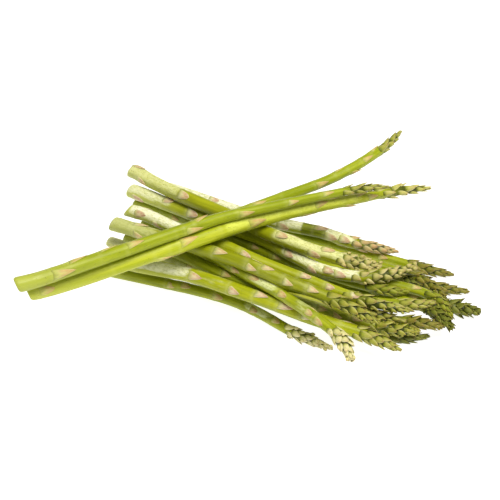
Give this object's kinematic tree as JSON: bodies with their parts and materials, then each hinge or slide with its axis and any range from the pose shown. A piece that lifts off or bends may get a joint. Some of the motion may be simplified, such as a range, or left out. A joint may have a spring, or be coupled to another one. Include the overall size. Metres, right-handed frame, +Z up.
{
  "type": "bundle of asparagus",
  "caption": "Loose bunch of thin green asparagus spears lying in a heap, long spears crossing over the top, with scaly stems and pointed scaly heads.",
  "frame": {"origin": "on the table, under the middle of the heap's bounding box", "axes": "+Z up, +X along the heap from the cut ends to the heads, +Y towards its far side"},
  "size_m": [0.2768, 0.1994, 0.0573],
  "materials": {
    "spear_green": "fresh vegetable skin with a waxy bloom, satin",
    "spear_pale": "fresh vegetable skin, pale with a thick waxy bloom, satin"
  },
  "bodies": {
    "root": {"spear_01": "spear_green", "spear_02": "spear_green", "spear_03": "spear_green", "spear_04": "spear_green", "spear_05": "spear_green", "spear_06": "spear_green", "spear_07": "spear_green", "spear_08": "spear_green", "spear_09": "spear_green", "spear_10": "spear_green", "spear_11": "spear_green", "spear_12": "spear_pale", "spear_13": "spear_green", "spear_14": "spear_green", "spear_15": "spear_green", "spear_16": "spear_pale", "spear_17": "spear_pale", "spear_18": "spear_pale", "spear_19": "spear_green", "spear_20": "spear_pale", "spear_21": "spear_pale", "crossing_spear_rising": "spear_green", "crossing_spear_back": "spear_green", "crossing_spear_front": "spear_green"}
  },
  "joints": []
}
